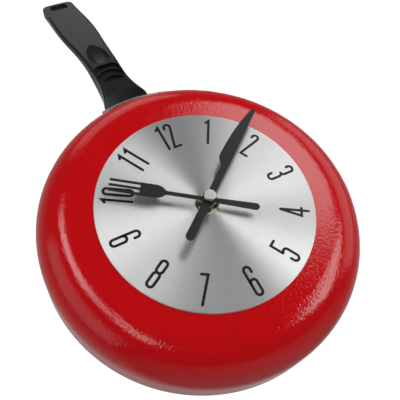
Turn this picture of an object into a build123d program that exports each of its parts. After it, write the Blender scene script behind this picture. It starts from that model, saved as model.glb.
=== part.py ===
from build123d import *
import os
from math import cos, pi, radians, sin, tan

# A wall clock in the form of a frying pan: the pan's outer bottom carries the dial and faces the
# room (-Y), and its handle points up (+Z).  Millimetres.  "Depth" is measured back from the dial's
# face (towards the wall), "height" forward from it (towards the room).

# ---- driving dimensions -------------------------------------------------------------------------

# the row's origin is the middle of the hang slot in the handle
hang_height = 257.4        # the slot above the hand axis
hang_depth = 72.3          # the slot's middle behind the dial's face

# dial and pan
dial_radius = 66.0
dial_sheet = 1.0
dial_bore = 4.15
pan_radius = 100.8
pan_sheet = 1.6
pan_bore = 4.5
shoulder_radius = 23.3
rim_depth = 42.0

# handle: places along it count from the root, heights from the plane of the root's front edge,
# which leaves the root backwards at handle_lean
handle_lean = 12.8
handle_root_height = 119.5
handle_root_depth = 31.0
handle_length = 150.0
tip_corner = 5.6
tip_fall = 0.9             # the tip's corners below the middle of its end
root_drop = 12.0           # behind its front edge the root reaches this far down, to the saddle
root_hollow = 2.6          # the root's front edge is an arc, this much higher in the middle
root_hollow_radius = 55.6
root_bevel = 1.3           # from that edge the root falls this much for each millimetre of depth
front_heights = (
    (-root_drop - 1, 0), (0, 0), (14, 1.2), (34, 3.0), (50, 3.3),
    (80, 1.7), (106, 0), (124, -1.4), (handle_length + 1, -3.6),
)
back_heights = (
    (-root_drop - 1, -17.5), (2, -18.2), (16, -18.4), (34, -12.3),
    (46, -8.2), (60, -7.2), (90, -8.2), (118, -11.6), (handle_length + 1, -16.5),
)
half_widths = (
    (19.0, -root_drop), (15.5, 0), (11.9, 14), (11.2, 22), (11.5, 36),
    (12.9, 65), (14.6, 85), (15.1, 104), (14.3, 126), (13.8, handle_length - tip_fall),
)
front_roll = 2.2
back_roll = 5.0
slot_width = 15.0
slot_height = 8.6
pad_start = 130.5          # where the sunk pad of the tip begins, in the middle
pad_arc = 24.0
pad_step = 0.8
thumb_top = 3.3            # the height of the front at the thumb recess
thumb_depths = ((37, 0), (39, 1.7), (46, 3.0), (57, 2.0), (68, 0))
scoop_axis = 12.0          # the height of the axis its round is turned about
neck_recess = (15.5, 35.0)  # the ribbed recess between the thumb recess and the root
neck_recess_depth = 2.2
neck_recess_width = 19.0
rib_places = (22.0, 29.5)
rib_width = 1.1
rib_half = 8.8
rib_sag = 4.0              # a rib's ends below its middle
rib_step = 0.4             # the ribs' tops below the handle's front
socket_front = -6.9        # the slot in the handle's root that takes the bracket's tongue
screw_place = 14.0
screw_radius = 2.3
screw_head_radius = 4.1
screw_seat = -12.0         # the screw comes from behind, its head on a seat at this height
screw_tip = -3.4

# handle bracket
saddle_radius = 102.8
saddle_front = 17.5
saddle_back = 38.5
saddle_half_angle = 13.7
tongue_sheet = 2.5
tongue_width = 14.0
tongue_end = 24.0
rivet_angle = 8.6
rivet_depth = 29.0
rivet_radius = 2.0

# movement: a quartz movement with a threaded bushing, and an AA cell
case_front = 3.4           # depth of the case's front
case_size = 56.0
case_depth = 16.4
case_wall = 1.2
bay_top = -10.6            # top of the battery bay, from the hand axis
cell_radius = 7.1
cell_length = 49.3
cell_place = (0.0, -18.9)
bushing_radius = 4.0
bushing_bore = 2.45
bushing_height = 3.6
tube_radius = 2.4
tube_bore = 1.65
arbor_radius = 1.6
running_gap = 0.05

# hands at eight and a half minutes past ten
minute_clock = 51.4
hour_clock = 300 + minute_clock / 12
hour_hand_height = 5.6
minute_hand_height = 8.2
hand_sheet = 0.5
hub_radius = 3.9
cap_radius = 3.6

# ---- planes and small helpers -------------------------------------------------------------------

centre = Vector(0, -hang_depth, -hang_height)
profile_plane = Plane(origin=centre, x_dir=(1, 0, 0), z_dir=(0, 0, 1))
hand_axis = Axis(centre, (0, 1, 0))

lean = radians(handle_lean)
along_handle = Vector(0, sin(lean), cos(lean))
out_of_handle = Vector(0, -cos(lean), sin(lean))
handle_root = centre + Vector(0, handle_root_depth, handle_root_height)
handle_front = Plane(origin=handle_root, x_dir=(1, 0, 0), z_dir=out_of_handle)
handle_side = Plane(origin=handle_root, x_dir=along_handle, z_dir=(1, 0, 0))


def behind(depth, place=(0, 0)):
    """A plane parallel to the dial at a depth, x right and y up, facing the room."""
    return Plane(origin=centre + Vector(place[0], depth, place[1]), x_dir=(1, 0, 0), z_dir=(0, -1, 0))


def disc(back, front, radius, place=(0, 0), mode=Mode.ADD):
    """A round between two depths, in the piece being built."""
    with BuildSketch(behind(back, place)) as face:
        Circle(radius)
    extrude(face.sketch, amount=back - front, mode=mode)


def block(back, front, left, right, low, high, mode=Mode.ADD):
    """A box between two depths, in the piece being built."""
    with BuildSketch(behind(back, ((left + right) / 2, (low + high) / 2))) as face:
        Rectangle(right - left, high - low)
    extrude(face.sketch, amount=back - front, mode=mode)


def radial_plane(clock, depth):
    """A plane on the hand axis facing outwards at a clock angle."""
    out = Vector(sin(radians(clock)), 0, cos(radians(clock)))
    return Plane(origin=centre + Vector(0, depth, 0), x_dir=(0, 1, 0), z_dir=out)


def hand_plane(height, clock):
    """The plane of a hand: local y points along the hand, local x to its clockwise side."""
    across = (cos(radians(clock)), 0, -sin(radians(clock)))
    return Plane(origin=centre + Vector(0, -height, 0), x_dir=across, z_dir=(0, -1, 0))


# ---- pan and dial -------------------------------------------------------------------------------

back_of_dial = dial_sheet
with BuildPart() as pan_body:
    with BuildSketch(profile_plane):
        with BuildLine():
            outer = FilletPolyline(
                (pan_bore, back_of_dial),
                (pan_radius, back_of_dial),
                (pan_radius, rim_depth - pan_sheet / 2),
                radius=shoulder_radius,
            )
            inner = FilletPolyline(
                (pan_bore, back_of_dial + pan_sheet),
                (pan_radius - pan_sheet, back_of_dial + pan_sheet),
                (pan_radius - pan_sheet, rim_depth - pan_sheet / 2),
                radius=shoulder_radius - pan_sheet,
            )
            Line(outer @ 0, inner @ 0)
            ThreePointArc(outer @ 1, (pan_radius - pan_sheet / 2, rim_depth), inner @ 1)
        make_face()
    revolve(axis=hand_axis)
    for clock in (-rivet_angle, rivet_angle):
        with BuildSketch(radial_plane(clock, rivet_depth)) as rivet_hole:
            Circle(rivet_radius)
        extrude(rivet_hole.sketch, amount=pan_radius + 5, mode=Mode.SUBTRACT)

with BuildPart() as dial_plate:
    disc(dial_sheet, 0, dial_radius)
    chamfer(dial_plate.edges().group_by(Axis.Y)[0], 0.3)
    disc(dial_sheet, 0, dial_bore, mode=Mode.SUBTRACT)

# ---- handle, its bracket and fasteners ----------------------------------------------------------

with BuildPart() as handle_bracket:
    with BuildSketch(behind(saddle_back)):
        Circle(saddle_radius)
        Circle(pan_radius, mode=Mode.SUBTRACT)
        reach = 2 * saddle_radius
        half_span = radians(saddle_half_angle)
        Polygon(
            (0, 0),
            (reach * sin(half_span), reach * cos(half_span)),
            (-reach * sin(half_span), reach * cos(half_span)),
            align=None,
            mode=Mode.INTERSECT,
        )
    extrude(amount=saddle_back - saddle_front)
    fillet(handle_bracket.edges().group_by(Axis.Y)[0].filter_by(GeomType.CIRCLE), 0.6)
    # the tongue widens into the saddle and runs up inside the handle
    with BuildSketch(handle_front.offset(socket_front - tongue_sheet)):
        neck, half, neck_top = 13.0, tongue_width / 2, -root_drop - 0.5
        Polygon(
            (-neck, -16.6), (neck, -16.6), (half, neck_top),
            (half, tongue_end), (-half, tongue_end), (-half, neck_top),
            align=None,
        )
    extrude(amount=tongue_sheet)
    with BuildSketch(handle_front.offset(socket_front)) as screw_hole:
        with Locations((0, screw_place)):
            Circle(screw_radius)
    extrude(screw_hole.sketch, amount=-tongue_sheet, mode=Mode.SUBTRACT)
    for clock in (-rivet_angle, rivet_angle):
        with BuildSketch(radial_plane(clock, rivet_depth)) as rivet_hole:
            Circle(rivet_radius)
        extrude(rivet_hole.sketch, amount=saddle_radius + 5, mode=Mode.SUBTRACT)

with BuildPart() as bracket_rivets:
    for clock in (-rivet_angle, rivet_angle):
        seat = radial_plane(clock, rivet_depth)
        inside = pan_radius - pan_sheet
        with BuildSketch(seat.offset(inside - 1.3)) as tail:
            Circle(3.2)
        extrude(tail.sketch, amount=1.2)
        with BuildSketch(seat.offset(inside - 0.3)) as shank:
            Circle(rivet_radius)
        extrude(shank.sketch, amount=saddle_radius - inside + 0.6)
        with BuildSketch(seat.offset(saddle_radius)) as head:
            Circle(3.6)
        extrude(head.sketch, amount=1.6, taper=35)


def over_front(plan, sunk):
    """The space above a plan and above the handle's front sunk by a depth."""
    with BuildPart() as space:
        extrude(plan, amount=20)
        with BuildSketch(handle_side.offset(-25)) as side_view:
            with BuildLine():
                line = Spline(*((place, height - sunk) for place, height in front_heights))
                Polyline(line @ 1, (handle_length + 1, 20), (-root_drop - 1, 20), line @ 0)
            make_face()
        extrude(side_view.sketch, amount=50, mode=Mode.INTERSECT)
    return space.part


with BuildPart() as handle:
    # plan of the handle, from the flared root over the waist and the grip to the squared tip
    with BuildSketch(handle_front.offset(-20)) as plan:
        with BuildLine():
            side_line = Spline(*half_widths)
            other_side = mirror(side_line, about=Plane.YZ)
            ThreePointArc(side_line @ 1, (0, handle_length), other_side @ 1)
            Line(side_line @ 0, other_side @ 0)
        make_face()
        fillet(plan.vertices().sort_by(Axis.Y)[-2:], tip_corner)
    extrude(amount=30)
    # side view: a front that swells over the waist, and a back that thins behind it
    with BuildSketch(handle_side.offset(-25)) as side_view:
        with BuildLine():
            front_line = Spline(*front_heights)
            back_line = Spline(*back_heights)
            Line(front_line @ 0, back_line @ 0)
            Line(front_line @ 1, back_line @ 1)
        make_face()
    extrude(side_view.sketch, amount=50, mode=Mode.INTERSECT)
    # rounded edges all round the front, fuller ones behind
    front_face = handle.faces().sort_by(Axis(handle_root, out_of_handle))[-1]
    fillet(front_face.edges().sort_by(Axis(handle_root, along_handle))[1:], front_roll)
    back_face = handle.faces().sort_by(Axis(handle_root, out_of_handle))[0]
    fillet(back_face.edges().sort_by(Axis(handle_root, along_handle))[1:], back_roll)
    # the root's bevel, from the arched front edge down to the saddle
    cut_start = 4
    with BuildSketch(handle_front.offset(cut_start)) as root_cut:
        with Locations((0, root_hollow - root_hollow_radius + root_bevel * cut_start)):
            Circle(root_hollow_radius)
    extrude(root_cut.sketch, amount=30, dir=-out_of_handle - root_bevel * along_handle, mode=Mode.SUBTRACT)
    # the sunk pad of the tip, and the hang slot through it for a wall hook
    with BuildSketch(handle_front.offset(-8)) as pad:
        with Locations((0, pad_start + 10)):
            Rectangle(60, 60)
        with Locations((0, pad_start - pad_arc)):
            Circle(pad_arc, mode=Mode.SUBTRACT)
            Rectangle(60, 2 * pad_arc - 14, mode=Mode.SUBTRACT)
    add(over_front(pad.sketch, pad_step), mode=Mode.SUBTRACT)
    with BuildSketch(Plane(origin=(0, 30, 0), x_dir=(1, 0, 0), z_dir=(0, -1, 0))) as slot:
        RectangleRounded(slot_width, slot_height, 2.0)
    extrude(slot.sketch, amount=60, mode=Mode.SUBTRACT)
    # thumb recess, a scoop deepest near its lower end and round across the handle
    with BuildPart() as scoop:
        with BuildSketch(handle_side):
            with BuildLine():
                bowl = Spline(*((place, thumb_top - depth) for place, depth in thumb_depths))
                Polyline(bowl @ 0, (thumb_depths[0][0], scoop_axis), (thumb_depths[-1][0], scoop_axis),
                         bowl @ 1)
            make_face()
        revolve(axis=Axis(handle_root + scoop_axis * out_of_handle, along_handle))
    add(scoop.part, mode=Mode.SUBTRACT)
    # the recess of the neck and its two arched ribs
    for sunk, ribbed in ((rib_step, False), (neck_recess_depth, True)):
        with BuildSketch(handle_front.offset(-8)) as recess:
            with Locations((0, sum(neck_recess) / 2)):
                RectangleRounded(neck_recess_width, neck_recess[1] - neck_recess[0], 5)
            if ribbed:
                for rib_place in rib_places:
                    with BuildLine() as rib:
                        ThreePointArc((-rib_half, rib_place - rib_sag), (0, rib_place), (rib_half, rib_place - rib_sag))
                    trace(rib.line, line_width=rib_width, mode=Mode.SUBTRACT)
        add(over_front(recess.sketch, sunk), mode=Mode.SUBTRACT)
    # slot for the bracket's tongue, and the hole and seat of the screw
    with BuildSketch(handle_front.offset(socket_front)) as socket:
        with Locations((0, (tongue_end - 16) / 2)):
            Rectangle(tongue_width, tongue_end + 16)
    extrude(socket.sketch, amount=-tongue_sheet, mode=Mode.SUBTRACT)
    with BuildSketch(handle_front.offset(screw_tip)) as screw_hole:
        with Locations((0, screw_place)):
            Circle(screw_radius)
    extrude(screw_hole.sketch, amount=screw_seat - screw_tip, mode=Mode.SUBTRACT)
    with BuildSketch(handle_front.offset(screw_seat)) as counterbore:
        with Locations((0, screw_place)):
            Circle(screw_head_radius + 0.3)
    extrude(counterbore.sketch, amount=-10, mode=Mode.SUBTRACT)

with BuildPart() as handle_screw:
    with BuildSketch(handle_front.offset(screw_seat)):
        with Locations((0, screw_place)):
            Circle(screw_radius)
    extrude(amount=screw_tip - screw_seat)
    with BuildSketch(handle_front.offset(screw_seat)) as head:
        with Locations((0, screw_place)):
            Circle(screw_head_radius)
    extrude(head.sketch, amount=-1.9)
    fillet(handle_screw.edges().sort_by(Axis(handle_root, out_of_handle))[0], 0.8)
    with BuildSketch(handle_front.offset(screw_seat - 0.8)) as cross:
        with Locations((0, screw_place)):
            Rectangle(4.4, 0.9)
            Rectangle(0.9, 4.4)
    extrude(cross.sketch, amount=-3, mode=Mode.SUBTRACT)

# ---- movement: wheels ---------------------------------------------------------------------------

case_floor = case_front + case_wall          # depth of the inside of the case's front
# layers of the movement, as distances behind the case floor
hour_layer = (0.3, 1.3)
setting_layer = (1.7, 2.7)
centre_layer = (3.2, 4.0)
plate_layer = (4.5, 5.5)
third_layer = (6.0, 6.8)
fourth_layer = (7.4, 8.2)
step_layer = (8.8, 9.6)
pivot_end = 11.5                             # rear end of the arbors
boss_front = 10.2                            # front of the cover's bearing bosses

# places of the arbors, right and up of the hand axis
hand_place = (0.0, 0.0)
minute_wheel_place = (-8.0, 0.0)


def from_place(place, distance, direction):
    """A point at a distance and direction (degrees, anticlockwise from the right) from another."""
    turn = radians(direction)
    return (place[0] + distance * cos(turn), place[1] + distance * sin(turn))


setting_module, hour_module = 0.25, 0.32
centre_module, step_module = 0.22, 0.2
centre_teeth, third_pinion_teeth = 64, 8
third_teeth, fourth_pinion_teeth = 60, 8
fourth_teeth, step_pinion_teeth = 50, 10
step_teeth, rotor_teeth = 48, 8
cannon_teeth, minute_teeth, knob_teeth = 16, 48, 16
minute_pinion_teeth, hour_teeth = 10, 40

third_distance = centre_module * (centre_teeth + third_pinion_teeth) / 2
third_module = 2 * third_distance / (third_teeth + fourth_pinion_teeth)
third_direction, step_direction, rotor_direction, knob_direction = 90, -20, 20, 200
third_place = from_place(hand_place, third_distance, third_direction)
step_place = from_place(hand_place, step_module * (fourth_teeth + step_pinion_teeth) / 2, step_direction)
rotor_place = from_place(step_place, step_module * (step_teeth + rotor_teeth) / 2, rotor_direction)
knob_place = from_place(
    minute_wheel_place, setting_module * (minute_teeth + knob_teeth) / 2, knob_direction
)


def tooth_outline(teeth, module, phase):
    """The outline of a toothed wheel: radial flanks below the pitch line, tapered teeth above."""
    pitch = teeth * module / 2
    half_tooth = 0.43 * pi / teeth
    tip_half = half_tooth * 0.52
    root, tip = pitch - 1.1 * module, pitch + 0.75 * module
    outline = []
    for index in range(teeth):
        middle = radians(phase) + 2 * pi * index / teeth
        for radius, turn in (
            (root, -half_tooth), (pitch, -half_tooth), (tip, -tip_half),
            (tip, tip_half), (pitch, half_tooth), (root, half_tooth),
        ):
            outline.append((radius * cos(middle + turn), radius * sin(middle + turn)))
    return outline


def toothed(teeth, module, place, layer, phase):
    """A toothed wheel or pinion in a layer of the movement, in the piece being built."""
    with BuildSketch(behind(case_floor + layer[1], place)) as face:
        with BuildLine():
            Polyline(*tooth_outline(teeth, module, phase), close=True)
        make_face()
    extrude(face.sketch, amount=layer[1] - layer[0])


def meshing_phase(driver_phase, driver_teeth, driven_teeth, direction):
    """The phase that puts a driven wheel's gap on the driver's tooth along a line of centres."""
    driver_pitch, driven_pitch = 360 / driver_teeth, 360 / driven_teeth
    share = ((direction - driver_phase) / driver_pitch) % 1
    return direction + 180 - (0.5 - share) * driven_pitch


def arbor(back, front, radius, place, mode=Mode.ADD):
    """A round along an arbor's line between two distances behind the case floor."""
    disc(case_floor + back, case_floor + front, radius, place, mode)

cannon_phase = 0
minute_phase = meshing_phase(cannon_phase, cannon_teeth, minute_teeth, 180)
knob_phase = meshing_phase(minute_phase, minute_teeth, knob_teeth, knob_direction)
minute_pinion_phase = 0
hour_phase = meshing_phase(minute_pinion_phase, minute_pinion_teeth, hour_teeth, 0)
centre_phase = 0
third_pinion_phase = meshing_phase(centre_phase, centre_teeth, third_pinion_teeth, third_direction)
third_phase = 0
fourth_pinion_phase = meshing_phase(third_phase, third_teeth, fourth_pinion_teeth, third_direction + 180)
fourth_phase = 0
step_pinion_phase = meshing_phase(fourth_phase, fourth_teeth, step_pinion_teeth, step_direction)
step_phase = 0
rotor_phase = meshing_phase(step_phase, step_teeth, rotor_teeth, rotor_direction)

with BuildPart() as minute_arbor:
    arbor(setting_layer[1], -case_floor - minute_hand_height - 1.9, arbor_radius, hand_place)
    disc(-minute_hand_height - 1.9, -minute_hand_height - 2.9, 1.0)
    toothed(cannon_teeth, setting_module, hand_place, setting_layer, cannon_phase)
    arbor(plate_layer[0] - 0.1, setting_layer[1], 0.95, hand_place)
    arbor(plate_layer[0] - 0.1, centre_layer[0] - 0.2, 0.45, hand_place, Mode.SUBTRACT)

with BuildPart() as hour_wheel:
    toothed(hour_teeth, hour_module, hand_place, hour_layer, hour_phase)
    arbor(hour_layer[1], -case_floor - 6.8, tube_radius, hand_place)
    arbor(hour_layer[1], -case_floor - 6.8, tube_bore, hand_place, Mode.SUBTRACT)

with BuildPart() as minute_wheel:
    toothed(minute_teeth, setting_module, minute_wheel_place, setting_layer, minute_phase)
    toothed(
        minute_pinion_teeth, hour_module, minute_wheel_place,
        (hour_layer[0], setting_layer[0]), minute_pinion_phase,
    )
    arbor(setting_layer[1], hour_layer[0], 0.75, minute_wheel_place, Mode.SUBTRACT)

with BuildPart() as centre_wheel:
    toothed(centre_teeth, centre_module, hand_place, centre_layer, centre_phase)
    arbor(centre_layer[1], centre_layer[0], 0.95 + running_gap, hand_place, Mode.SUBTRACT)

with BuildPart() as third_wheel:
    arbor(pivot_end, 1.2, 0.5, third_place)
    toothed(third_teeth, third_module, third_place, third_layer, third_phase)
    toothed(
        third_pinion_teeth, centre_module, third_place,
        (centre_layer[0] - 0.2, centre_layer[1] + 0.2), third_pinion_phase,
    )

with BuildPart() as fourth_wheel:
    arbor(pivot_end, centre_layer[0], 0.4, hand_place)
    toothed(fourth_teeth, step_module, hand_place, fourth_layer, fourth_phase)
    toothed(
        fourth_pinion_teeth, third_module, hand_place,
        (third_layer[0] - 0.2, third_layer[1] + 0.2), fourth_pinion_phase,
    )

with BuildPart() as step_wheel:
    arbor(pivot_end, plate_layer[0] + 0.5, 0.4, step_place)
    toothed(step_teeth, step_module, step_place, step_layer, step_phase)
    toothed(
        step_pinion_teeth, step_module, step_place,
        (fourth_layer[0] - 0.2, fourth_layer[1] + 0.2), step_pinion_phase,
    )

with BuildPart() as rotor:
    arbor(pivot_end, plate_layer[0] + 0.5, 0.4, rotor_place)
    toothed(
        rotor_teeth, step_module, rotor_place,
        (step_layer[0] - 0.2, step_layer[1] + 0.2), rotor_phase,
    )

with BuildPart() as rotor_magnet:
    arbor(8.2, 6.0, 2.9, rotor_place)
    arbor(8.2, 6.0, 0.4, rotor_place, Mode.SUBTRACT)

knob_radius = 5.0
cover_back = case_depth - case_wall          # the case's back, behind the case floor
with BuildPart() as set_knob:
    arbor(cover_back + 0.4, 1.4, 1.4, knob_place)
    arbor(1.4, -0.7, 0.6, knob_place)
    toothed(knob_teeth, setting_module, knob_place, setting_layer, knob_phase)
    arbor(cover_back + 4.4, cover_back + 0.4, knob_radius, knob_place)
    chamfer(set_knob.edges().group_by(Axis.Y)[-1], 0.5)
    with BuildSketch(behind(case_floor + cover_back + 4.4, knob_place)) as grooves:
        with PolarLocations(knob_radius + 0.15, 24):
            Circle(0.4)
    extrude(grooves.sketch, amount=3.4, mode=Mode.SUBTRACT)

# ---- movement: case, plates and electrics -------------------------------------------------------

case_half = case_size / 2
inside_half = case_half - case_wall
cover_back_depth = case_floor + cover_back
plate_posts = ((14.5, -7.0), (-9.2, 11.0), (13.5, 10.6))
stator_posts = ((24.5, 21.5), (24.5, -2.5), (-2.0, 21.5))
board_posts = ((-24.0, 24.0), (-11.0, 24.0), (-24.0, 10.0))

with BuildPart() as movement_case:
    with BuildSketch(behind(cover_back_depth)):
        RectangleRounded(case_size, case_size, 3)
    extrude(amount=case_depth)
    block(cover_back_depth, case_floor, -inside_half, inside_half, bay_top + case_wall, inside_half,
          mode=Mode.SUBTRACT)
    block(cover_back_depth, case_floor, -inside_half, inside_half, -inside_half, bay_top,
          mode=Mode.SUBTRACT)
    # a notch in each end of the wall between the two lets the battery contacts through
    for side in (-1, 1):
        block(cover_back_depth - 3, case_floor + 4, side * 25.9 - 0.9, side * 25.9 + 0.9,
              bay_top - 1, bay_top + case_wall + 1, mode=Mode.SUBTRACT)
    disc(case_floor, case_front, bushing_radius, mode=Mode.SUBTRACT)
    arbor(setting_layer[1] + 0.2, 0, 0.7, minute_wheel_place)
    arbor(2.6, 0, 1.0, third_place)
    arbor(2.6, 1.0, 0.5 + running_gap, third_place, Mode.SUBTRACT)
    arbor(0, -0.8, 0.6 + running_gap, knob_place, Mode.SUBTRACT)
    for place in plate_posts:
        arbor(plate_layer[0], 0, 1.4, place)
    for place in stator_posts:
        arbor(6.2, 0, 1.4, place)
    for place in board_posts:
        arbor(6.0, 0, 1.4, place)
    # ribs that cradle the cell
    for rib_centre in (-14, 14):
        with BuildSketch(behind(case_floor + 5.5)) as rib:
            with Locations((rib_centre, cell_place[1])):
                Rectangle(1.4, 2 * (cell_radius + 0.7))
        extrude(rib.sketch, amount=5.5)
        with BuildSketch(Plane(origin=(rib_centre, 0, 0), x_dir=(0, 1, 0), z_dir=(1, 0, 0))) as seat:
            with Locations((centre.Y + case_floor + 0.4 + cell_radius, centre.Z + cell_place[1])):
                Circle(cell_radius + 0.1)
        extrude(seat.sketch, amount=2, both=True, mode=Mode.SUBTRACT)

with BuildPart() as movement_cover:
    block(cover_back_depth, cover_back_depth - case_wall, -inside_half + 0.1, inside_half - 0.1,
          bay_top + case_wall + 0.1, inside_half - 0.1)
    for place in (hand_place, third_place, step_place, rotor_place):
        arbor(cover_back - case_wall, boss_front, 1.7, place)
    for place, radius in ((hand_place, 0.4), (third_place, 0.5), (step_place, 0.4), (rotor_place, 0.4)):
        arbor(pivot_end + 0.4, boss_front, radius + running_gap, place, Mode.SUBTRACT)
    arbor(cover_back, cover_back - case_wall, 1.4 + running_gap, knob_place, Mode.SUBTRACT)
    # a shallow dished ring around the knob
    arbor(cover_back, cover_back - 0.4, knob_radius + 1.5, knob_place, Mode.SUBTRACT)

with BuildPart() as middle_plate:
    block(case_floor + plate_layer[1], case_floor + plate_layer[0], -11.2, 16.5, -9, 12.8)
    arbor(plate_layer[1], plate_layer[0], 1.4, hand_place, Mode.SUBTRACT)
    arbor(plate_layer[1], plate_layer[0], 0.9, third_place, Mode.SUBTRACT)
    for place in (step_place, rotor_place):
        arbor(plate_layer[1], plate_layer[0] + 0.4, 0.4 + running_gap, place, Mode.SUBTRACT)

with BuildPart() as shaft_bushing:
    disc(case_floor, -bushing_height, bushing_radius)
    disc(case_floor, -bushing_height, bushing_bore, mode=Mode.SUBTRACT)
    chamfer(shaft_bushing.edges().group_by(Axis.Y)[0].sort_by(SortBy.RADIUS)[-1], 0.4)

with BuildPart() as rubber_washer:
    disc(case_front, back_of_dial + pan_sheet, 9.0)
    disc(case_front, back_of_dial + pan_sheet, bushing_radius, mode=Mode.SUBTRACT)

with BuildPart() as flat_washer:
    disc(0, -0.5, 7.2)
    disc(0, -0.5, bushing_radius, mode=Mode.SUBTRACT)

nut_across_flats = 12.0
with BuildPart() as hex_nut:
    with BuildSketch(behind(-0.5)):
        RegularPolygon(nut_across_flats / 2, 6, major_radius=False, rotation=12)
    extrude(amount=2.5)
    # turned corners on the front, as on a machined nut
    with BuildSketch(behind(-0.5)) as turned:
        Circle(nut_across_flats / 2 + 1.6)
    extrude(turned.sketch, amount=2.5, taper=24, mode=Mode.INTERSECT)
    disc(-0.5, -3.0, bushing_radius, mode=Mode.SUBTRACT)

stator_layer = (6.2, 7.0)
with BuildPart() as stator:
    with BuildSketch(behind(case_floor + stator_layer[1])):
        with BuildLine():
            Polyline(
                (6.9, -4.6), (26.3, -4.6), (26.3, 24), (22.6, 24), (22.6, 4.4), (11.8, 4.4),
                (11.8, 17.0), (-0.4, 17.0), (-0.4, 24), (-4, 24), (-4, 15.7), (8.6, 15.7),
                (8.6, 4.4), (6.9, 4.4),
                close=True,
            )
        make_face()
        with Locations(rotor_place):
            Circle(3.3, mode=Mode.SUBTRACT)
    extrude(amount=stator_layer[1] - stator_layer[0])

coil_level = 21.0
core_layer = (7.0, 7.8)
with BuildPart() as coil_core:
    block(case_floor + core_layer[1], case_floor + core_layer[0], -4, 26.3, coil_level - 1.5, coil_level + 1.5)

coil_middle = case_floor + (core_layer[0] + core_layer[1]) / 2
coil_plane = Plane(origin=centre + Vector(0, coil_middle, coil_level), x_dir=(0, 1, 0), z_dir=(1, 0, 0))
with BuildPart() as coil_bobbin:
    with BuildSketch(coil_plane.offset(0.6)):
        RectangleRounded(3.6, 5.4, 0.8)
    extrude(amount=21.0)
    for place in (0.6, 20.8):
        with BuildSketch(coil_plane.offset(place)) as flange:
            Circle(3.9)
        extrude(flange.sketch, amount=0.8)
    block(case_floor + core_layer[1], case_floor + core_layer[0], -4, 26.3, coil_level - 1.5,
          coil_level + 1.5, mode=Mode.SUBTRACT)

with BuildPart() as coil_winding:
    with BuildSketch(coil_plane.offset(1.4)):
        Circle(3.6)
        RectangleRounded(3.6, 5.4, 0.8, mode=Mode.SUBTRACT)
    extrude(amount=19.4)

board_layer = (6.0, 7.0)
with BuildPart() as circuit_board:
    block(case_floor + board_layer[1], case_floor + board_layer[0], -26.2, -8.6, 7.4, 26.2)

with BuildPart() as driver_chip:
    arbor(board_layer[1] + 1.6, board_layer[1], 3.0, (-15, 20))
    fillet(driver_chip.edges().group_by(Axis.Y)[-1], 1.2)

with BuildPart() as quartz_crystal:
    crystal_plane = Plane(
        origin=centre + Vector(-24.5, case_floor + board_layer[1] + 1.5, 11.5), x_dir=(0, 1, 0), z_dir=(1, 0, 0)
    )
    with BuildSketch(crystal_plane):
        Circle(1.5)
    extrude(amount=8)
    fillet(quartz_crystal.edges(), 0.4)

# ---- battery and its contacts -------------------------------------------------------------------

cell_depth = case_floor + 0.5 + cell_radius
cell_start = Plane(
    origin=centre + Vector(-cell_length / 2, cell_depth, cell_place[1]), x_dir=(0, 1, 0), z_dir=(1, 0, 0)
)
with BuildPart() as battery:
    with BuildSketch(cell_start):
        Circle(cell_radius)
    extrude(amount=cell_length)
    fillet(battery.edges(), 0.6)
    with BuildSketch(cell_start.offset(cell_length)) as nub:
        Circle(2.7)
    extrude(nub.sketch, amount=1.1)

with BuildPart() as positive_contact:
    block(cover_back_depth - 4, case_floor + 4.1, inside_half - 0.5, inside_half - 0.1, -25.5, bay_top + 3.5)
    block(case_floor + 8.6, case_floor + 6.6, inside_half - 1.0, inside_half - 0.5, -20.4, -17.4)

with BuildPart() as negative_contact:
    block(cover_back_depth - 4, case_floor + 4.1, -inside_half + 0.1, -inside_half + 0.5, -25.5, bay_top + 3.5)
    with BuildSketch(cell_start.offset(-1.65)) as spring_root:
        Circle(4.2)
        Circle(3.4, mode=Mode.SUBTRACT)
    extrude(spring_root.sketch, amount=0.7)
    with BuildSketch(cell_start.offset(-0.95)) as spring_top:
        Circle(3.5)
        Circle(2.7, mode=Mode.SUBTRACT)
    extrude(spring_top.sketch, amount=0.8)

# ---- hands --------------------------------------------------------------------------------------

tail_length = 30.2
with BuildPart() as minute_hand:
    # a table knife: straight spine on the clockwise side, bellied blade on the other
    with BuildSketch(hand_plane(minute_hand_height, minute_clock)):
        with BuildLine():
            spine = Line((2.15, 0), (2.15, 70.9))
            point = ThreePointArc(spine @ 1, (0.85, 73.0), (-0.75, 71.5))
            edge = Spline(point @ 1, (-3.45, 59.3), (-5.3, 43), (-5.75, 31))
            heel = TangentArc(edge @ 1, (-4.0, 26.0), tangent=edge % 1)
            notch = Spline(heel @ 1, (-2.15, 22.6), tangents=(heel % 1, (0, -1)))
            left_arm = Line(notch @ 1, (-2.15, 0))
            left_tail = Line(left_arm @ 1, (-2.6, -tail_length + 2.6))
            end = ThreePointArc(left_tail @ 1, (0, -tail_length), (2.6, -tail_length + 2.6))
            Line(end @ 1, spine @ 0)
        make_face()
    extrude(amount=hand_sheet)
    disc(-minute_hand_height + 0.5, -minute_hand_height - 1.8, hub_radius)
    fillet(minute_hand.edges().group_by(Axis.Y)[0], 0.3)
    disc(-minute_hand_height + 0.5, -minute_hand_height - 1.8, arbor_radius, mode=Mode.SUBTRACT)

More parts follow.
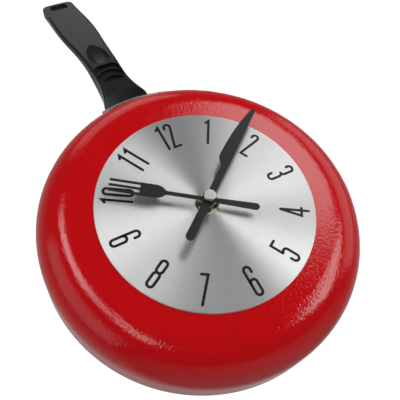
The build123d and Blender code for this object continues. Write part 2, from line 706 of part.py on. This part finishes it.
tine_pitch, tine_width = 3.4, 1.45
tine_root, tine_tip = 40.2, 58.4
head_half = 4.3
with BuildPart() as hour_hand:
    # a table fork of three tines
    with BuildSketch(hand_plane(hour_hand_height, hour_clock)):
        with BuildLine():
            side = Line((head_half, tine_root), (head_half, 31.4))
            shoulder = Spline(
                side @ 1, (3.75, 28.4), (2.4, 26.2), (1.2, 24.0), tangents=((0, -1), (0, -1))
            )
            arm = Polyline(shoulder @ 1, (1.2, 20), (1.25, 6), (1.6, -4), (2.2, -tail_length + 2.5))
            half_end = ThreePointArc(arm @ 1, (1.5, -tail_length + 0.6), (0, -tail_length))
            mirror(side, about=Plane.YZ)
            mirror(shoulder, about=Plane.YZ)
            mirror(arm, about=Plane.YZ)
            mirror(half_end, about=Plane.YZ)
            Line((-head_half, tine_root), (head_half, tine_root))
        make_face()
        for tine in (-1, 0, 1):
            with Locations((tine * tine_pitch, (tine_root + tine_tip) / 2 - 0.4)):
                SlotOverall(tine_tip - tine_root + 0.8, tine_width, rotation=90)
    extrude(amount=hand_sheet)
    disc(-hour_hand_height + 1.4, -hour_hand_height - 1.6, hub_radius)
    fillet(hour_hand.edges().group_by(Axis.Y)[0], 0.3)
    disc(-hour_hand_height + 1.4, -hour_hand_height - 1.6, tube_radius, mode=Mode.SUBTRACT)

cap_base = minute_hand_height + 1.9
with BuildPart() as hand_cap:
    disc(-cap_base, -cap_base - 1.7, cap_radius)
    fillet(hand_cap.edges().group_by(Axis.Y)[0], 0.6)
    disc(-cap_base, -cap_base - 1.0, 1.0, mode=Mode.SUBTRACT)

# ---- one file for each piece --------------------------------------------------------------------

pieces = {
    "pan_body": pan_body,
    "dial_plate": dial_plate,
    "handle": handle,
    "handle_screw": handle_screw,
    "handle_bracket": handle_bracket,
    "bracket_rivets": bracket_rivets,
    "hex_nut": hex_nut,
    "flat_washer": flat_washer,
    "rubber_washer": rubber_washer,
    "shaft_bushing": shaft_bushing,
    "movement_case": movement_case,
    "movement_cover": movement_cover,
    "middle_plate": middle_plate,
    "stator": stator,
    "coil_core": coil_core,
    "coil_bobbin": coil_bobbin,
    "coil_winding": coil_winding,
    "circuit_board": circuit_board,
    "driver_chip": driver_chip,
    "quartz_crystal": quartz_crystal,
    "positive_contact": positive_contact,
    "negative_contact": negative_contact,
    "battery": battery,
    "rotor": rotor,
    "rotor_magnet": rotor_magnet,
    "step_wheel": step_wheel,
    "fourth_wheel": fourth_wheel,
    "third_wheel": third_wheel,
    "centre_wheel": centre_wheel,
    "minute_arbor": minute_arbor,
    "minute_wheel": minute_wheel,
    "hour_wheel": hour_wheel,
    "set_knob": set_knob,
    "hour_hand": hour_hand,
    "minute_hand": minute_hand,
    "hand_cap": hand_cap,
}
os.makedirs("parts", exist_ok=True)
for name, piece in pieces.items():
    piece.part.label = name
    export_step(piece.part, f"parts/{name}.step")
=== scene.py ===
from math import atan2, cos, hypot, pi, radians, sin

import bmesh
import bpy
from mathutils import Matrix, Vector


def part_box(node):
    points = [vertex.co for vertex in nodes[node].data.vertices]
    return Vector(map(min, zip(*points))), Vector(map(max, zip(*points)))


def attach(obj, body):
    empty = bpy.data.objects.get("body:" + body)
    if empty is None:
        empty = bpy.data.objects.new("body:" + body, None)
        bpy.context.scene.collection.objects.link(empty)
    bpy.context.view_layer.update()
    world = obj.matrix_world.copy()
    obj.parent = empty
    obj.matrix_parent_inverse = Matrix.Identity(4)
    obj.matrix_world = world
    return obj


# A frying-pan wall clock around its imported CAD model, in metres. The dial faces -Y and the handle
# points up +Z. "Clock angles" are degrees clockwise from twelve, as seen from the room.

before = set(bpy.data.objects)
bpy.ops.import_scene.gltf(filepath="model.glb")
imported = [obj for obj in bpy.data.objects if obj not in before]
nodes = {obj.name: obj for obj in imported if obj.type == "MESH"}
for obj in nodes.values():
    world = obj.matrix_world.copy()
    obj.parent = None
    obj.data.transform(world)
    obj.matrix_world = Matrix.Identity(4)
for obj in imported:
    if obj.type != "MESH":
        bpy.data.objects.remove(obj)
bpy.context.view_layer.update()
MM = 0.001

dial_low, dial_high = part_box("dial_plate")
dial_centre = Vector(((dial_low.x + dial_high.x) / 2, dial_low.y, (dial_low.z + dial_high.z) / 2))
dial_radius = (dial_high.x - dial_low.x) / 2
pan_low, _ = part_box("pan_body")


def out_at(clock):
    """The outward direction at a clock angle, in the dial's plane."""
    return Vector((sin(radians(clock)), 0, cos(radians(clock))))


def across_at(clock):
    """The clockwise direction at a clock angle, in the dial's plane."""
    return Vector((cos(radians(clock)), 0, -sin(radians(clock))))


# ---- material helpers ---------------------------------------------------------------------------


class Nodes:
    """A short way to write a node tree: add returns a new node, and the rest its output."""

    def __init__(self, tree):
        self.tree = tree

    def add(self, kind, **values):
        node = self.tree.nodes.new(kind)
        for name, value in values.items():
            setattr(node, name, value)
        return node

    def link(self, source, target):
        self.tree.links.new(source, target)

    def math(self, operation, first, second=0.0):
        node = self.add("ShaderNodeMath", operation=operation)
        for socket, value in zip(node.inputs, (first, second)):
            self.put(socket, value)
        return node.outputs[0]

    def put(self, socket, value):
        if isinstance(value, bpy.types.NodeSocket):
            self.link(value, socket)
        else:
            socket.default_value = value

    def noise(self, vector, scale, detail=2.0, roughness=0.5):
        node = self.add("ShaderNodeTexNoise")
        self.link(vector, node.inputs["Vector"])
        node.inputs["Scale"].default_value = scale
        node.inputs["Detail"].default_value = detail
        node.inputs["Roughness"].default_value = roughness
        return node.outputs["Fac"]

    def ramp(self, value, low, high, to_low=0.0, to_high=1.0):
        node = self.add("ShaderNodeMapRange")
        self.put(node.inputs["Value"], value)
        ends = {"From Min": low, "From Max": high, "To Min": to_low, "To Max": to_high}
        for name, number in ends.items():
            node.inputs[name].default_value = number
        return node.outputs["Result"]

    def mix(self, share, first, second):
        node = self.add("ShaderNodeMix", data_type="RGBA")
        self.put(node.inputs["Factor"], share)
        for socket, value in ((node.inputs["A"], first), (node.inputs["B"], second)):
            self.put(socket, value if isinstance(value, bpy.types.NodeSocket) else (*value, 1.0))
        return node.outputs["Result"]

    def bump(self, height, strength, distance):
        node = self.add("ShaderNodeBump")
        self.link(height, node.inputs["Height"])
        node.inputs["Strength"].default_value = strength
        node.inputs["Distance"].default_value = distance
        return node.outputs["Normal"]


def new_material(name, **settings):
    """A new material, the helper for its node tree, its shader and its object coordinates."""
    material = bpy.data.materials.new(name)
    material.use_nodes = True
    tools = Nodes(material.node_tree)
    shader = material.node_tree.nodes["Principled BSDF"]
    for socket, value in settings.items():
        shader.inputs[socket.replace("_", " ")].default_value = value
    coordinates = tools.add("ShaderNodeTexCoord").outputs["Object"]
    return material, tools, shader, coordinates


def polar(tools, place):
    """Radius and clock angle about the hands' axis, from object coordinates."""
    offset = tools.add("ShaderNodeVectorMath", operation="SUBTRACT")
    tools.link(place, offset.inputs[0])
    offset.inputs[1].default_value = dial_centre
    parts = tools.add("ShaderNodeSeparateXYZ")
    tools.link(offset.outputs[0], parts.inputs[0])
    across, _, up = parts.outputs
    squares = tools.math("ADD", tools.math("POWER", across, 2.0), tools.math("POWER", up, 2.0))
    return tools.math("SQRT", squares), tools.math("ARCTAN2", across, up)


def inside_pan(tools, place):
    """One on the surfaces of the pan that face its inside or the wall, nought on the others."""
    flat = tools.add("ShaderNodeVectorMath", operation="MULTIPLY_ADD")
    tools.link(place, flat.inputs[0])
    flat.inputs[1].default_value = (1, 0, 1)
    flat.inputs[2].default_value = (-dial_centre.x, 0, -dial_centre.z)
    outward = tools.add("ShaderNodeVectorMath", operation="NORMALIZE")
    tools.link(flat.outputs[0], outward.inputs[0])
    facing = tools.add("ShaderNodeNewGeometry").outputs["True Normal"]
    along = tools.add("ShaderNodeVectorMath", operation="DOT_PRODUCT")
    tools.link(facing, along.inputs[0])
    tools.link(outward.outputs[0], along.inputs[1])
    parts = tools.add("ShaderNodeSeparateXYZ")
    tools.link(facing, parts.inputs[0])
    inward = tools.math("SUBTRACT", parts.outputs[1], along.outputs["Value"])
    edge = 0.1    # the two coats blend a little where the surface turns over
    return tools.ramp(inward, -edge, edge)


# ---- materials ----------------------------------------------------------------------------------

# Noise scales are per metre and bump depths are in metres. Roughness goes from its first value to
# its second as the noise goes from mid_low to mid_high.
mid_low, mid_high = 0.3, 0.7


def red_enamel():
    """Baked red enamel with orange peel outside, and the dark non-stick coat inside the pan."""
    material, tools, shader, place = new_material(
        "red_enamel", Coat_Weight=1.0, Coat_Roughness=0.06, Coat_IOR=1.5, Specular_IOR_Level=0.0
    )
    inside = inside_pan(tools, place)
    cloud = tools.noise(place, 60.0, 3.0)
    red = tools.mix(cloud, (0.68, 0.0010, 0.0040), (0.78, 0.0016, 0.0056))
    specks = tools.noise(place, 5000.0, 2.0)
    coat = tools.mix(specks, (0.035, 0.035, 0.038), (0.085, 0.085, 0.09))
    tools.link(tools.mix(inside, red, coat), shader.inputs["Base Color"])
    peel = tools.noise(place, 700.0, 1.0, 0.4)
    grain = tools.noise(place, 1900.0, 1.0)
    grain_share = 0.3
    height = tools.math("ADD", peel, tools.math("MULTIPLY", grain, grain_share))
    skin = tools.bump(height, 0.32, 0.0004)
    tools.link(skin, shader.inputs["Normal"])
    tools.link(skin, shader.inputs["Coat Normal"])
    gloss = tools.ramp(cloud, mid_low, mid_high, 0.2, 0.28)
    duller_inside = tools.math("MULTIPLY", inside, 0.25)
    tools.link(tools.math("ADD", gloss, duller_inside), shader.inputs["Roughness"])
    return material


def spun_aluminium():
    """Aluminium brushed on a lathe: fine concentric lines and an anisotropic sheen."""
    material, tools, shader, place = new_material(
        "spun_aluminium", Metallic=1.0, Anisotropic=0.93, Anisotropic_Rotation=0.25
    )
    # the noise runs over radius and angle, so that it draws rings
    lines_per_metre, changes_per_radian = 4200.0, 2.0
    radius, angle = polar(tools, place)
    rings = tools.add("ShaderNodeCombineXYZ")
    tools.link(tools.math("MULTIPLY", radius, lines_per_metre), rings.inputs[0])
    tools.link(tools.math("MULTIPLY", angle, changes_per_radian), rings.inputs[1])
    lines = tools.noise(rings.outputs[0], 1.0, 3.0, 0.6)
    colour = tools.mix(lines, (0.74, 0.75, 0.745), (1.0, 1.0, 0.99))
    tools.link(colour, shader.inputs["Base Color"])
    tools.link(tools.ramp(lines, mid_low, mid_high, 0.40, 0.54), shader.inputs["Roughness"])
    tangent = tools.add("ShaderNodeTangent", direction_type="RADIAL", axis="Y")
    tools.link(tangent.outputs[0], shader.inputs["Tangent"])
    tools.link(tools.bump(lines, 0.08, 0.00005), shader.inputs["Normal"])
    return material


def simple(name, low, high, scale, roughness, bump_strength=0.1, **settings):
    """A material whose colour, roughness and surface vary with one noise."""
    noise_detail, bump_depth = 3.0, 0.0001
    material, tools, shader, place = new_material(name, **settings)
    cloud = tools.noise(place, scale, noise_detail)
    tools.link(tools.mix(cloud, low, high), shader.inputs["Base Color"])
    tools.link(tools.ramp(cloud, mid_low, mid_high, *roughness), shader.inputs["Roughness"])
    tools.link(tools.bump(cloud, bump_strength, bump_depth), shader.inputs["Normal"])
    return material


enamel = red_enamel()
aluminium = spun_aluminium()
bakelite = simple(
    "bakelite", (0.007, 0.008, 0.008), (0.012, 0.013, 0.013), 1500.0, (0.28, 0.36), 0.25,
    Specular_IOR_Level=0.35,
)
steel = simple(
    "bright_steel", (0.52, 0.51, 0.49), (0.66, 0.65, 0.63), 900.0, (0.22, 0.36), Metallic=1.0
)
nickel = simple(
    "nickel_brass", (0.66, 0.60, 0.50), (0.80, 0.75, 0.66), 1400.0, (0.14, 0.26), Metallic=1.0
)
rubber = simple(
    "rubber", (0.016, 0.016, 0.016), (0.028, 0.028, 0.028), 1800.0, (0.7, 0.85), 0.2
)
hand_paint = simple(
    "hand_paint", (0.016, 0.019, 0.020), (0.024, 0.028, 0.029), 2500.0, (0.42, 0.55),
    Specular_IOR_Level=0.3,
)
cap_metal = simple(
    "cap_metal", (0.60, 0.57, 0.51), (0.70, 0.67, 0.61), 2000.0, (0.32, 0.44), Metallic=1.0
)
black_plastic = simple(
    "black_plastic", (0.014, 0.014, 0.015), (0.022, 0.022, 0.024), 4000.0, (0.45, 0.6), 0.3
)
white_plastic = simple(
    "white_plastic", (0.66, 0.64, 0.58), (0.74, 0.72, 0.66), 500.0, (0.35, 0.5), 0.05
)
ferrite = simple(
    "ferrite", (0.035, 0.035, 0.038), (0.07, 0.07, 0.075), 3000.0, (0.5, 0.7), 0.2
)
strip_metal = simple(
    "strip_metal", (0.60, 0.59, 0.56), (0.72, 0.71, 0.68), 700.0, (0.2, 0.35), Metallic=1.0
)
copper = simple(
    "copper_wire", (0.42, 0.13, 0.05), (0.62, 0.24, 0.10), 3000.0, (0.25, 0.4), 0.4, Metallic=0.8
)
laminate = simple(
    "laminate", (0.008, 0.07, 0.025), (0.015, 0.11, 0.04), 900.0, (0.25, 0.4)
)
potting = simple(
    "potting", (0.008, 0.008, 0.009), (0.014, 0.014, 0.015), 600.0, (0.15, 0.3)
)
cell_sleeve = simple(
    "cell_sleeve", (0.42, 0.26, 0.03), (0.50, 0.32, 0.05), 300.0, (0.22, 0.32), 0.03
)
ink = simple(
    "numeral_ink", (0.006, 0.006, 0.007), (0.010, 0.010, 0.011), 4000.0, (0.4, 0.5), 0.05,
    Specular_IOR_Level=0.3,
)

node_materials = {
    enamel: ["pan_body"],
    aluminium: ["dial_plate"],
    bakelite: ["handle"],
    steel: ["handle_screw", "handle_bracket", "bracket_rivets"],
    nickel: ["hex_nut", "flat_washer", "shaft_bushing", "minute_arbor"],
    rubber: ["rubber_washer"],
    hand_paint: ["hour_hand", "minute_hand"],
    cap_metal: ["hand_cap"],
    black_plastic: ["movement_case", "movement_cover", "set_knob"],
    white_plastic: [
        "middle_plate", "coil_bobbin", "rotor", "step_wheel", "fourth_wheel", "third_wheel",
        "centre_wheel", "minute_wheel", "hour_wheel",
    ],
    strip_metal: ["stator", "coil_core", "quartz_crystal", "positive_contact", "negative_contact"],
    ferrite: ["rotor_magnet"],
    copper: ["coil_winding"],
    laminate: ["circuit_board"],
    potting: ["driver_chip"],
    cell_sleeve: ["battery"],
}
for material, names in node_materials.items():
    for name in names:
        slots = nodes[name].data.materials
        slots.clear()
        slots.append(material)


# ---- numerals -----------------------------------------------------------------------------------

# Strokes are centre lines in dial radii: x to the right and y up from the foot of a digit.
w = 0.030                  # half the width between a digit's two uprights
foot, top = 0.010, 0.275   # the ends of a digit's uprights
middle = 0.143             # where the two bowls of a three or a five meet
waist = 0.152              # where the two loops of an eight meet
bowl = 0.155               # the top of a six's bowl
bar = 0.078                # the height of a four's bar
stroke_width = 0.0245
same_point = 1e-5          # two points nearer than this are one
mitre_limit = 0.35         # a corner's mitre reaches at most half a stroke's width over this

# Where a numeral stands, in dial radii.
outer_foot = 0.943         # the foot of the numerals four to eight, whose heads point to the middle
inner_foot = 0.656         # the foot of the other numerals
pair_shift = 0.043         # half the distance between the two digits of ten, eleven and twelve
single_shift = 0.010       # how far the one and the three stand to the left

# The ink's thickness, off the dial's face.
ink_under = 0.002 * MM     # the underside of a stroke
ink_face = 0.06 * MM       # the face of a digit's first stroke
ink_step = 0.004 * MM      # each further stroke stands this much higher, so that no two faces meet


def apart(a, b):
    """The distance between two points."""
    return hypot(b[0] - a[0], b[1] - a[1])


def arc(x, y, radius, start, end):
    """Points round a centre, from one angle to another (degrees, anticlockwise from the right)."""
    steps = 8
    turns = [radians(start + (end - start) * i / steps) for i in range(steps + 1)]
    return [(x + radius * cos(t), y + radius * sin(t)) for t in turns]


def stadium(low, high):
    """A closed loop with round ends between two heights."""
    return arc(0, high - w, w, 180, 0) + arc(0, low + w, w, 0, -180)


six = (
    [(w, top - w - 0.028)] + arc(0, top - w, w, 0, 180) + arc(0, foot + w, w, 180, 360)
    + arc(0, bowl - w, w, 0, 180)
)

# Each stroke of a digit: whether it is a closed loop, and its points.
digit_strokes = {
    "0": [(True, stadium(foot, top))],
    "1": [(False, [(-0.027, top - 0.026), (0, top), (0, foot)])],
    "2": [
        (
            False,
            [(-w, top - w - 0.012)] + arc(0, top - w, w, 180, -20)
            + [(-w, foot), (w + 0.006, foot)],
        ),
    ],
    "3": [
        (
            False,
            [(-w, top - w - 0.02)] + arc(0, top - w, w, 180, 0) + arc(0, middle + w, w, 0, -90),
        ),
        (
            False,
            arc(0, middle - w, w, 90, 0) + arc(0, foot + w, w, 0, -180)
            + [(-w, foot + w + 0.02)],
        ),
    ],
    "4": [
        (False, [(0.015, top), (-0.036, bar), (0.044, bar)]),
        (False, [(0.018, top), (0.018, foot)]),
    ],
    "5": [
        (
            False,
            [(0.026, top), (-w, top), (-w, middle + 0.012)] + arc(0, middle - 0.01, w, 140, 0)
            + arc(0, foot + w, w, 0, -180) + [(-w, foot + w + 0.03)],
        ),
    ],
    "6": [(False, six)],
    "7": [(False, [(-0.036, top), (0.022, top), (-0.020, foot)])],
    "8": [(True, stadium(foot, waist)), (True, stadium(waist, top))],
    "9": [(False, [(-x, foot + top - y) for x, y in six])],
}


def stroke_sides(points, closed, half):
    """Left and right edges of a stroke along a centre line, mitred at its corners."""
    count = len(points)
    left, right = [], []
    for i, (x, y) in enumerate(points):
        before = points[i - 1] if closed or i else None
        after = points[(i + 1) % count] if closed or i < count - 1 else None
        directions = []
        for a, b in ((before, (x, y)), ((x, y), after)):
            if a is not None and b is not None:
                length = apart(a, b)
                directions.append(((b[0] - a[0]) / length, (b[1] - a[1]) / length))
        dx, dy = sum(d[0] for d in directions), sum(d[1] for d in directions)
        length = hypot(dx, dy)
        dx, dy = dx / length, dy / length
        first = directions[0]
        reach = half / max(mitre_limit, dx * first[0] + dy * first[1])
        left.append((x - dy * reach, y + dx * reach))
        right.append((x + dy * reach, y - dx * reach))
    return left, right


def round_end(point, inner, half):
    """Points of a half round beyond a stroke's end, anticlockwise; inner is the point before it."""
    steps = 6
    facing = atan2(point[1] - inner[1], point[0] - inner[0])
    turns = [facing - pi / 2 + pi * i / steps for i in range(1, steps)]
    return [(point[0] + half * cos(t), point[1] + half * sin(t)) for t in turns]


def add_stroke(mesh, points, closed, place, face):
    """Adds one stroke of ink as a thin closed solid; place maps a point and a height to 3-D."""
    points = [
        point for i, point in enumerate(points)
        if i == 0 or apart(points[i - 1], point) > same_point
    ]
    if closed and apart(points[0], points[-1]) < same_point:
        points = points[:-1]
    half = stroke_width / 2
    left, right = stroke_sides(points, closed, half)
    top_left = [mesh.verts.new(place(p, face)) for p in left]
    top_right = [mesh.verts.new(place(p, face)) for p in right]
    low_left = [mesh.verts.new(place(p, ink_under)) for p in left]
    low_right = [mesh.verts.new(place(p, ink_under)) for p in right]
    count = len(points)
    for i in range(count if closed else count - 1):
        j = (i + 1) % count
        mesh.faces.new((top_left[i], top_left[j], top_right[j], top_right[i]))
        mesh.faces.new((low_left[i], low_right[i], low_right[j], low_left[j]))
        mesh.faces.new((top_left[i], low_left[i], low_left[j], top_left[j]))
        mesh.faces.new((top_right[i], top_right[j], low_right[j], low_right[i]))
    if closed:
        return
    # each end of an open stroke gets a half round, one face above and one below
    for end, inner in ((0, 1), (-1, -2)):
        cap = round_end(points[end], points[inner], half)
        cap_top = [mesh.verts.new(place(p, face)) for p in cap]
        cap_low = [mesh.verts.new(place(p, ink_under)) for p in cap]
        if end == 0:
            ring_top = [top_left[0]] + cap_top + [top_right[0]]
            ring_low = [low_left[0]] + cap_low + [low_right[0]]
        else:
            ring_top = [top_right[-1]] + cap_top + [top_left[-1]]
            ring_low = [low_right[-1]] + cap_low + [low_left[-1]]
        mesh.faces.new(ring_top[::-1])
        mesh.faces.new(ring_low)
        for a, b, c, d in zip(ring_top, ring_top[1:], ring_low[1:], ring_low):
            mesh.faces.new((a, b, c, d))


def add_numeral(hour):
    """One numeral on the dial, with its foot towards the middle, or away from it from 4 to 8."""
    clock = hour * 360 / 12
    head_inward = 4 <= hour <= 8
    text = str(hour)
    shifts = (0.0,) if len(text) == 1 else (-pair_shift, pair_shift)
    if hour in (1, 3):
        shifts = (-single_shift,)
    mesh = bmesh.new()
    out, across = out_at(clock), across_at(clock)
    for digit, shift in zip(text, shifts):

        def place(point, height):
            x, y = point[0] + shift, point[1]
            radius = outer_foot - y if head_inward else inner_foot + y
            side = -x if head_inward else x
            spot = dial_centre + (out * radius + across * side) * dial_radius
            return spot + Vector((0, -height, 0))

        for part, (closed, points) in enumerate(digit_strokes[digit]):
            add_stroke(mesh, points, closed, place, ink_face + ink_step * part)
    bmesh.ops.recalc_face_normals(mesh, faces=mesh.faces)
    data = bpy.data.meshes.new(f"numeral_{hour}")
    mesh.to_mesh(data)
    mesh.free()
    data.materials.append(ink)
    piece = bpy.data.objects.new(f"numeral_{hour}", data)
    bpy.context.scene.collection.objects.link(piece)
    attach(piece, "clock_body")


for hour in range(1, 13):
    add_numeral(hour)


# ---- stage, light and camera --------------------------------------------------------------------

below_pan = 1.4            # how far the floor lies below the hanging clock
floor_height = pan_low.z - below_pan
box_distance = 0.9         # from the dial's centre to each soft box

# Each soft box: its direction from the dial, its width and height, and its power in watts.
soft_boxes = {
    "upper_right_box": ((0.56, -0.72, 0.39), 0.25, 0.46, 1.35),
    "lower_right_box": ((0.64, -0.74, -0.22), 0.28, 0.46, 1.8),
    "left_box": ((-0.50, -0.77, 0.40), 0.19, 0.5, 1.5),
    "lower_left_box": ((-0.50, -0.85, -0.15), 0.16, 0.45, 0.75),
    "top_box": ((0.1, -0.2, 0.97), 0.6, 0.4, 0.6),
    "right_side_box": ((0.95, -0.25, 0.1), 0.5, 1.0, 1.3),
    "left_side_box": ((-0.95, -0.25, 0.1), 0.5, 1.0, 1.1),
    "back_box": ((0.35, 0.85, 0.4), 0.7, 0.7, 3.0),
}


def add_floor():
    """A pale floor well below the hanging clock."""
    side, front, back = 2.2, -0.7, 2.2
    data = bpy.data.meshes.new("floor")
    outline = ((-side, front), (side, front), (side, back), (-side, back))
    data.from_pydata([(x, y, floor_height) for x, y in outline], [], [(0, 1, 2, 3)])
    material, tools, shader, place = new_material("floor_paint", Roughness=0.8)
    colour = tools.mix(tools.noise(place, 8.0), (0.80, 0.80, 0.80), (0.84, 0.84, 0.84))
    tools.link(colour, shader.inputs["Base Color"])
    data.materials.append(material)
    floor = bpy.data.objects.new("floor", data)
    bpy.context.scene.collection.objects.link(floor)


def add_area_light(name, placement, width, height, power):
    """A soft rectangular light that shines down its own Z axis."""
    light = bpy.data.lights.new(name, "AREA")
    light.shape = "RECTANGLE"
    light.size, light.size_y = width, height
    light.energy = power
    thing = bpy.data.objects.new(name, light)
    bpy.context.scene.collection.objects.link(thing)
    thing.matrix_world = placement


def add_floor_light():
    """A weak, wide light below the clock that shines down on the floor only."""
    behind_dial, above_floor = 0.6, 1.1
    placement = Matrix.Translation((0, behind_dial, floor_height + above_floor))
    add_area_light("floor_box", placement, 3.0, 2.4, 5.0)


def add_soft_boxes():
    """The soft boxes round the clock, all facing the dial's centre."""
    for name, (direction, width, height, power) in soft_boxes.items():
        facing = Vector(direction).normalized()
        turn = facing.to_track_quat("Z", "Y").to_matrix().to_4x4()
        placement = Matrix.Translation(dial_centre + facing * box_distance) @ turn
        add_area_light(name, placement, width, height, power)


def set_world():
    """A white backdrop that only the camera sees, and a room that lights the clock."""
    # the room is dim on the side that the dial faces, and gets lighter behind the clock
    front, front_strength = -0.1, 0.09
    behind, behind_strength = 0.7, 0.38
    backdrop_strength = 1.05
    world = bpy.data.worlds.new("studio")
    bpy.context.scene.world = world
    world.use_nodes = True
    tools = Nodes(world.node_tree)
    background = world.node_tree.nodes["Background"]
    seen = tools.add("ShaderNodeLightPath").outputs["Is Camera Ray"]
    parts = tools.add("ShaderNodeSeparateXYZ")
    tools.link(tools.add("ShaderNodeTexCoord").outputs["Generated"], parts.inputs[0])
    room = tools.ramp(parts.outputs[1], front, behind, front_strength, behind_strength)
    backdrop = tools.math("MULTIPLY", seen, backdrop_strength)
    tools.link(tools.math("MAXIMUM", room, backdrop), background.inputs["Strength"])
    background.inputs["Color"].default_value = (1, 1, 1, 1)


def add_camera():
    """A camera below and to the left of the dial, turned so that the handle leans to the left."""
    from_dial = Vector((-1.576, -4.054, -1.705))    # in dial radii
    aim = Vector((0.3279, 0.8658, 0.3780))
    picture_up = Vector((0.3607, -0.4846, 0.7969))
    data = bpy.data.cameras.new("camera")
    data.sensor_width = 36.0
    data.lens = 47.04
    data.clip_start, data.clip_end = 0.01, 20
    camera = bpy.data.objects.new("camera", data)
    bpy.context.scene.collection.objects.link(camera)
    forward = aim.normalized()
    right = forward.cross(picture_up).normalized()
    up = right.cross(forward)
    turn = Matrix((right, up, -forward)).transposed().to_4x4()
    camera.matrix_world = Matrix.Translation(dial_centre + from_dial * dial_radius) @ turn
    bpy.context.scene.camera = camera


add_floor()
add_floor_light()
set_world()
add_soft_boxes()
add_camera()
bpy.context.scene.view_settings.view_transform = "Standard"
